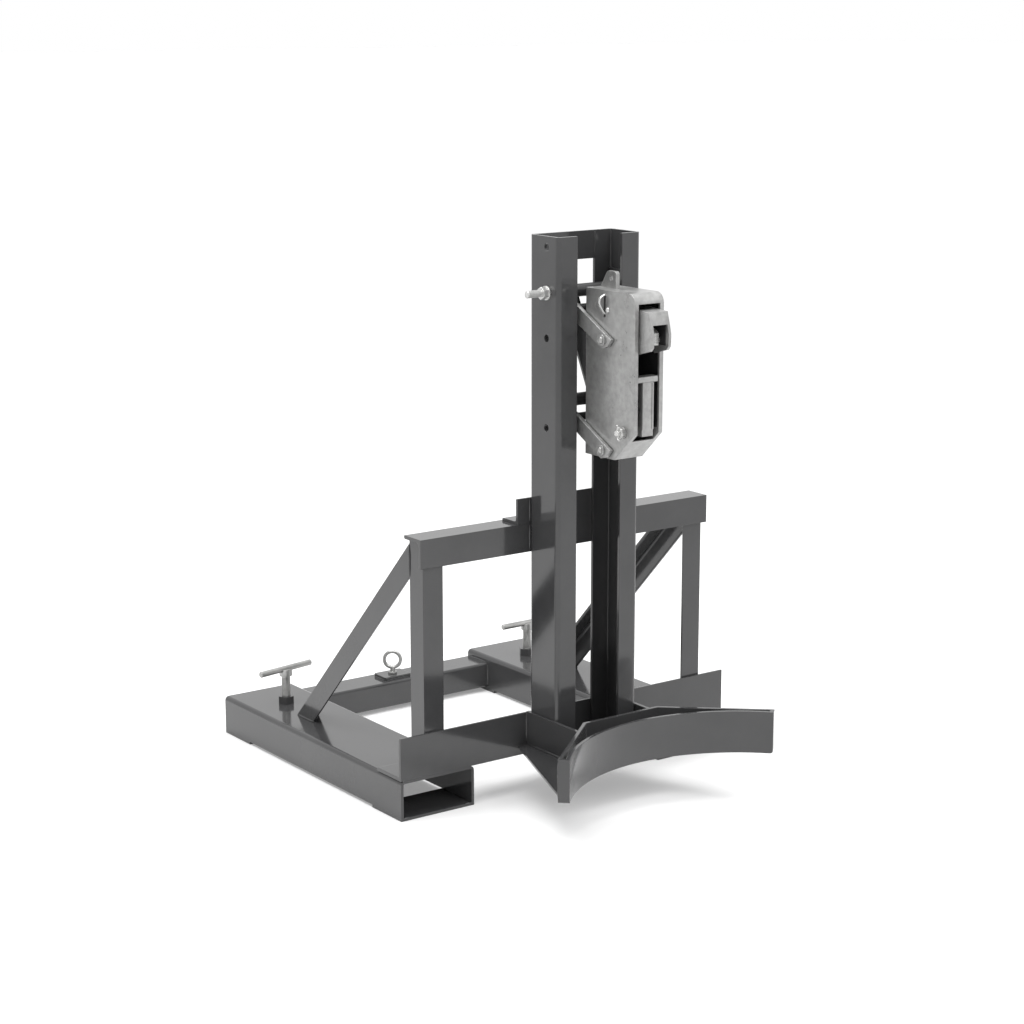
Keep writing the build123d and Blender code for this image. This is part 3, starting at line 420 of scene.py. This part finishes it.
WELDS = {
    "weld_pocket_front": (2.4, both([
        bead((pocket.x0 + 3, pocket.x1 - 3), crossbar.y1, pocket.z1 + 1),
        bead(upright.x0, (upright.y1 + 2, upright.y0 + 2), upright.z0 + 1),
        bead((upright.x1 - 3, upright.x0 + 5), upright.y0 + 5.5, upright.z0 + 1),
    ])),
    "weld_brace": (2.2, both([
        bead(brace.x0, (brace.y1 - 58, brace.y1 - 2), pocket.z1 + 1),
        bead((brace.x1 - 1, brace.x0 + 3), brace.y1 + 0.5, pocket.z1 + 1),
        bead(brace.x0 - 0.2, upright.y1, (brace.z1 - 57, brace.z1 - 3)),
    ])),
    "weld_upright_top": (2.0, both([
        bead(upright.x0, (upright.y0 + 4, upright.y1 - 2), upright.z1 - 1),
        bead(upright.x0 + 1, upright.y0, (upper_bar.z0 + 1, upright.z1 - 1)),
    ])),
    "weld_rear_bar": (2.2, both([
        bead(rear_bar.x0, rear_bar.y0, (rear_bar.z0 + 4, rear_bar.z1 - 4)),
        bead(rear_bar.x0, (rear_bar.y0 + 5, rear_bar.y1 - 6), rear_bar.z1 + 0.2),
    ])),
    "weld_mast_foot": (2.4, both([
        bead((channel.x0 + 3, channel.x1 - 3), channel.y0 - 0.5, channel.z0 + 0.5),
        bead(channel.x1, (channel.y0 + 4, channel.y0 + 22), channel.z0 + 0.5),
    ])),
    "weld_cheek": (2.2, both([
        bead(cheek.x0, (cheek.y1 - 150, cheek.y1 - 4), cheek.z0 + 1),
        bead(cheek.x0, cheek.y1 - 0.5, (cheek.z0 + 4, cheek.z1 - 3)),
    ])),
    "weld_mast_back": (2.0, both([
        bead(channel.x0 + 1, channel.y1 + 0.3, (upper_bar.z0 + 3, upper_bar.z1 - 3)),
        bead(channel.x0 + 1, channel.y1 + 0.3, (bracket.z0 + 3, bracket.z1 - 2)),
    ])),
    "weld_bracket": (2.0, [
        bead((bracket.x0 + 4, bracket.x1 - 4), bracket.y1 + 0.5, bracket.z0 + 0.5),
    ]),
    "weld_spacer": (1.8, both([
        bead(spacer.x0, spacer.y0, (spacer.z0 + 2, spacer.z1 - 2)),
    ])),
    "weld_tip": (1.6, both([
        bead(LIP_X, LIP_Y, (band.z0 + 2, band.z1 - 2)),
    ])),
    "weld_strap": (1.6, both([
        bead((strap.x0 + 5, strap.x0 + 19), strap.y0 + 0.5, strap.z1 - 0.5),
        bead((strap.x1 - 19, strap.x1 - 3), strap.y0 + 0.5, strap.z1 - 0.5),
    ])),
    "weld_eye_plate": (1.6, [
        bead((eye_plate.x0 + 3, eye_plate.x1 - 3), eye_plate.y0, eye_plate.z0 + 0.5),
        bead(eye_plate.x0, (eye_plate.y0 + 3, eye_plate.y1 - 3), eye_plate.z0 + 0.5),
        bead(eye_plate.x1, (eye_plate.y0 + 3, eye_plate.y1 - 3), eye_plate.z0 + 0.5),
    ]),
}
for weld_name, (weld_radius, weld_lines) in WELDS.items():
    add_piece(weld_mesh(weld_name, weld_lines, weld_radius), "frame", "frame_paint")


# Threads of the height bolt and the clamping screws

bolt = node_box("height_bolt")
bolt_thread = thread_mesh("bolt_thread", (bolt.x0 + 0.5, *axis_of(bolt)), (1, 0, 0),
                          length=26, radius=5.95, pitch=1.75)
add_piece(bolt_thread, "frame", "bolt_zinc", "zinc_painted_highlight")

spindle = node_box("screw_spindle_left")
for side_name, side in SIDES.items():
    foot_point = (-side * (spindle.x0 + spindle.x1) / 2, (spindle.y0 + spindle.y1) / 2, spindle.z0 + 6)
    screw_thread = thread_mesh("screw_thread_" + side_name, foot_point, (0, 0, 1),
                               length=54, radius=7.9, pitch=2.0)
    add_piece(screw_thread, "screw_" + side_name, "bolt_zinc")


# Release clip: a springy strip that bulges out of its slot in the head's left side plate.
# Its path is given outwards from the plate and down from the head's top.

head = node_box("head_shell")
clip_box = node_box("release_clip")
clip_y = (clip_box.y0 + clip_box.y1) / 2
CLIP_PATH = [(-4, 6), (1, 8), (9, 12), (12, 19), (8, 28), (3, 35), (-1, 39.5), (-4.2, 41)]
CLIP_SECTION = [(-1.4, -2.2), (-0.9, -2.7), (0.9, -2.7), (1.4, -2.2),
                (1.4, 2.2), (0.9, 2.7), (-0.9, 2.7), (-1.4, 2.2)]
clip_points = [(head.x0 - out, clip_y, head.z1 - down) for out, down in CLIP_PATH]
clip = add_piece(sweep_mesh("clip_strip", smoothed(clip_points), CLIP_SECTION),
                 "gripping_head", "bolt_zinc", "zinc_painted_highlight")
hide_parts("release_clip")


# Nut, threaded end and split pin that secure the lever's pin on the left.
# The split pin's path is given from the axis: outwards, forwards and up.

pin = node_box("lever_pin")
pin_y, pin_z = axis_of(pin)
lever_pin_nut = nut_mesh("lever_pin_nut", pin.x0, pin_y, pin_z, side=-1, flats=18, height=6.5)
end_points = [(pin.x0 - out, pin_y, pin_z) for out in (6, 10.6, 11.6)]
lever_pin_end = sweep_mesh("lever_pin_end", end_points, circle(5.4, 20))
for mesh in (lever_pin_nut, lever_pin_end):
    add_piece(mesh, "gripping_head", "bolt_zinc", "zinc_painted_highlight", smooth=False)

SPLIT_PATH = [(9, -3.5, 12), (9, 0, 14), (9, 1.5, 10), (9, 0, 6), (9, 0, -7),
              (9.5, 3, -10.5), (10.5, 7, -11.5)]
split_points = [(pin.x0 - out, pin_y - forwards, pin_z + rise) for out, forwards, rise in SPLIT_PATH]
add_piece(sweep_mesh("lever_split_pin", smoothed(split_points), circle(1.3, 10)),
          "gripping_head", "bolt_zinc", "zinc_painted_highlight")


# Rivet beside the release clip

clip_rivet = dome_mesh("clip_rivet", head.x0, clip_y - 9.5, head.z1 - 32.5,
                       radius=4.8, height=4.0, side=-1)
add_piece(clip_rivet, "gripping_head", "bolt_zinc", "zinc_painted_highlight")


# Painted shade: dark sheets inside the head and the beak that stand for the shade in them, and the
# raised edges of the lever

def mirrored(box):
    """A box on the left and its mirror image."""
    return [box, box._replace(x0=-box.x1, x1=-box.x0)]


beak = node_box("grip_beak")
lever = node_box("pressure_lever")
head_inside = node_box("beak_stop").x0
beak_inside = beak.x0 + 5
head_painted_shade = mirrored(Box(head_inside + 0.1, head_inside + 0.6,
                           head.y0 + 6, head.y1 - 13, head.z0 + 56, head.z1 - 21))
head_painted_shade.append(Box(head_inside + 0.6, -head_inside - 0.6,
                       head.y0 + 80, head.y0 + 80.5, head.z0 + 28, head.z1 - 103))
beak_painted_shade = mirrored(Box(beak_inside + 0.1, beak_inside + 0.5,
                           beak.y0 + 8, beak.y0 + 47, beak.z0 + 16, beak.z0 + 50.5))
beak_painted_shade.append(Box(beak_inside + 0.5, -beak_inside - 0.5,
                       beak.y0 + 46.6, beak.y0 + 47.1, beak.z0 + 19, beak.z0 + 50.5))
lever_ribs = mirrored(Box(-11.5, -8.7, lever.y0 - 1.4, lever.y0 + 0.1, lever.z0 + 17, lever.z1 - 10))
# The dark sheets in the head and the beak are painted shade, not parts of the lifter.
add_piece(box_mesh("head_painted_shade", head_painted_shade), "gripping_head", "black_steel", smooth=False)
add_piece(box_mesh("beak_painted_shade", beak_painted_shade), "beak", "black_steel", smooth=False)
add_piece(box_mesh("lever_ribs", lever_ribs), "lever", "zinc", smooth=False)


# Domed ends riveted over the pins. The lever's pin has its nut on the left.

DOMES = {
    "upper_pin_dome": ("upper_arm_pin", "upper_link", ("left", "right")),
    "lower_pin_dome": ("lower_arm_pin", "lower_link", ("left", "right")),
    "lever_pin_dome": ("lever_pin", "gripping_head", ("right",)),
}
for dome_name, (pin_name, dome_body, dome_sides) in DOMES.items():
    pin_box = node_box(pin_name)
    for side_name in dome_sides:
        side = SIDES[side_name]
        dome = dome_mesh(dome_name + "_" + side_name, side * pin_box.x1, *axis_of(pin_box),
                         radius=6.5, height=3.5, side=side)
        add_piece(dome, dome_body, "bolt_zinc")


# Floor

def make_floor():
    """Matt white floor that glows a little, so that it stays white to its far end."""
    reach = 60.0
    drop = 0.0005
    bm = bmesh.new()
    corners = ((-1, -1), (1, -1), (1, 1), (-1, 1))
    bm.faces.new([bm.verts.new((x * reach, y * reach, -drop)) for x, y in corners])
    mesh = bpy.data.meshes.new("floor")
    bm.to_mesh(mesh)
    bm.free()
    obj = bpy.data.objects.new("floor", mesh)
    bpy.context.scene.collection.objects.link(obj)
    material, tree, shader = new_material("floor_white")
    cloud = noise(tree, scale=0.6, detail=2.0)
    tree.links.new(two_tone(tree, cloud, grey(0.59), grey(0.61)), shader.inputs["Base Color"])
    shader.inputs["Roughness"].default_value = 0.9
    shader.inputs["Specular IOR Level"].default_value = 0.1
    shader.inputs["Emission Color"].default_value = (*grey(1.0), 1)
    shader.inputs["Emission Strength"].default_value = 0.26
    obj.data.materials.append(material)


make_floor()


# Light

def make_sky():
    """White surroundings that are slightly greyer overhead."""
    world = bpy.data.worlds.new("studio")
    bpy.context.scene.world = world
    world.use_nodes = True
    tree = world.node_tree
    coords = tree.nodes.new("ShaderNodeTexCoord")
    parts = tree.nodes.new("ShaderNodeSeparateXYZ")
    background = tree.nodes["Background"]
    tree.links.new(coords.outputs["Generated"], parts.inputs["Vector"])
    tone = two_tone(tree, parts.outputs["Z"], grey(1.0), grey(0.86), start=0.25, end=0.9)
    tree.links.new(tone, background.inputs["Color"])
    background.inputs["Strength"].default_value = 1.0


def add_light(name, kind, power):
    data = bpy.data.lights.new(name, kind)
    data.energy = power
    obj = bpy.data.objects.new(name, data)
    bpy.context.scene.collection.objects.link(obj)
    return obj


def soft_sun(name, power, angle, travel):
    """Wide distant light that shines along the given direction."""
    sun = add_light(name, "SUN", power)
    sun.data.angle = math.radians(angle)
    sun.rotation_euler = Vector(travel).to_track_quat("-Z", "Y").to_euler()


def softbox(name, power, size, location):
    """Square soft light that hangs over the object and shines down. Sizes and places are metres."""
    box = add_light(name, "AREA", power)
    box.data.size = size
    box.location = location
    box.visible_camera = False


make_sky()
softbox("top_box", power=110.0, size=2.8, location=(-0.25, 0.1, 3.0))
soft_sun("side_light", power=0.5, angle=30.0, travel=(0.65, -0.1, -1.6))
soft_sun("front_light", power=1.0, angle=24.0, travel=(-0.3, 1.0, -0.85))


# Camera, as solved from the photograph: where it stands, how it is turned, its focal length, and the
# photograph's optical centre in pixels

STAND = (-2373.0, -3120.0, 1354.0)
YAW = math.radians(35.54)
PITCH = math.radians(12.09)
ROLL = math.radians(-0.105)
FOCAL_PIXELS = 2312.0
CENTRE_X = 502.2
CENTRE_Y = 499.0
FRAME_PIXELS = 1024.0
SENSOR_WIDTH = 36.0

scene = bpy.context.scene
scene.view_settings.view_transform = "Standard"
scene.view_settings.look = "None"

camera_data = bpy.data.cameras.new("camera")
camera_data.sensor_width = SENSOR_WIDTH
camera_data.lens = SENSOR_WIDTH * FOCAL_PIXELS / FRAME_PIXELS
camera_data.shift_x = (FRAME_PIXELS / 2 - CENTRE_X) / FRAME_PIXELS
camera_data.shift_y = (CENTRE_Y - FRAME_PIXELS / 2) / FRAME_PIXELS
camera_data.clip_end = 100.0
camera = bpy.data.objects.new("camera", camera_data)
scene.collection.objects.link(camera)

view = Vector((math.sin(YAW) * math.cos(PITCH), math.cos(YAW) * math.cos(PITCH), -math.sin(PITCH)))
right = Vector((math.cos(YAW), -math.sin(YAW), 0.0))
up = right.cross(view)
right_rolled = right * math.cos(ROLL) + up * math.sin(ROLL)
up_rolled = up * math.cos(ROLL) - right * math.sin(ROLL)
turn = Matrix((right_rolled, up_rolled, -view)).transposed().to_4x4()
camera.matrix_world = Matrix.Translation(place(*STAND)) @ turn
scene.camera = camera
